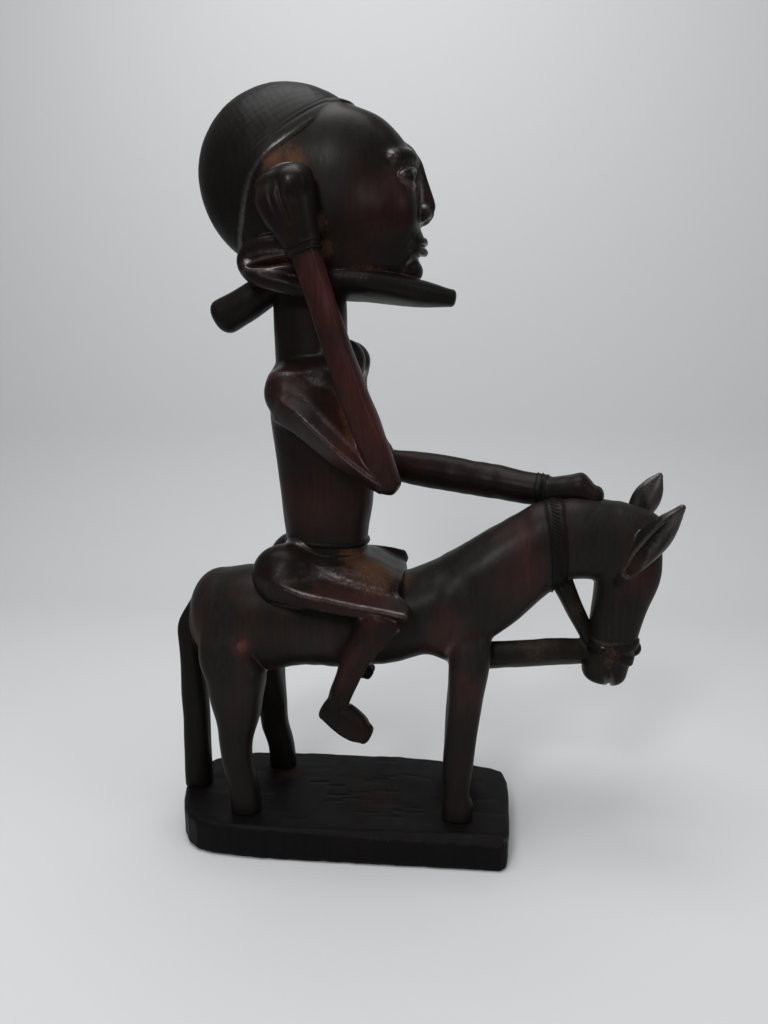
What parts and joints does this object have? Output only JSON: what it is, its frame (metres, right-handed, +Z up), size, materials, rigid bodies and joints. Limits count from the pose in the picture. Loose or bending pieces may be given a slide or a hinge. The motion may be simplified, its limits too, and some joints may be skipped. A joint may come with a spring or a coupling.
{
  "type": "carved ancestor figure",
  "caption": "Dark carved wooden rider on a standing horse, a hand raised to the head and the other on the horse's poll, on a slab base; a free-standing display carving.",
  "frame": {"origin": "centre of the base slab's flat underside", "axes": "+X the way the horse and the rider look, +Y to their left, +Z up"},
  "size_m": [0.3365, 0.1156, 0.5003],
  "materials": {
    "black_stain": "black-stained wood, waxed",
    "brown_stain": "dark brown stained wood, waxed",
    "red_stain": "reddish brown wood, rubbed and waxed"
  },
  "bodies": {
    "root": {"base": "black_stain", "beard": "black_stain", "belt": "black_stain", "bracelet_left": "black_stain", "bracelet_right": "black_stain", "bridle_strap": "red_stain", "foot_left": "brown_stain", "foot_right": "brown_stain", "fore_leg_left": "red_stain", "fore_leg_right": "red_stain", "forearm_left": "red_stain", "forearm_right": "red_stain", "hair_cap": "black_stain", "hair_queue": "black_stain", "hand_left": "brown_stain", "hand_right": "brown_stain", "hind_leg_left": "brown_stain", "hind_leg_right": "brown_stain", "horse_body": "brown_stain", "horse_ear_left": "black_stain", "horse_ear_right": "black_stain", "horse_head": "brown_stain", "horse_neck": "brown_stain", "neck_collar": "black_stain", "noseband": "black_stain", "rein_bar": "red_stain", "rider_ear_left": "brown_stain", "rider_ear_right": "brown_stain", "rider_head": "brown_stain", "rider_hips": "brown_stain", "rider_neck": "brown_stain", "rider_torso": "brown_stain", "shin_left": "red_stain", "shin_right": "red_stain", "tail": "black_stain", "thigh_left": "red_stain", "thigh_right": "red_stain", "upper_arm_left": "red_stain", "upper_arm_right": "red_stain"}
  },
  "joints": []
}
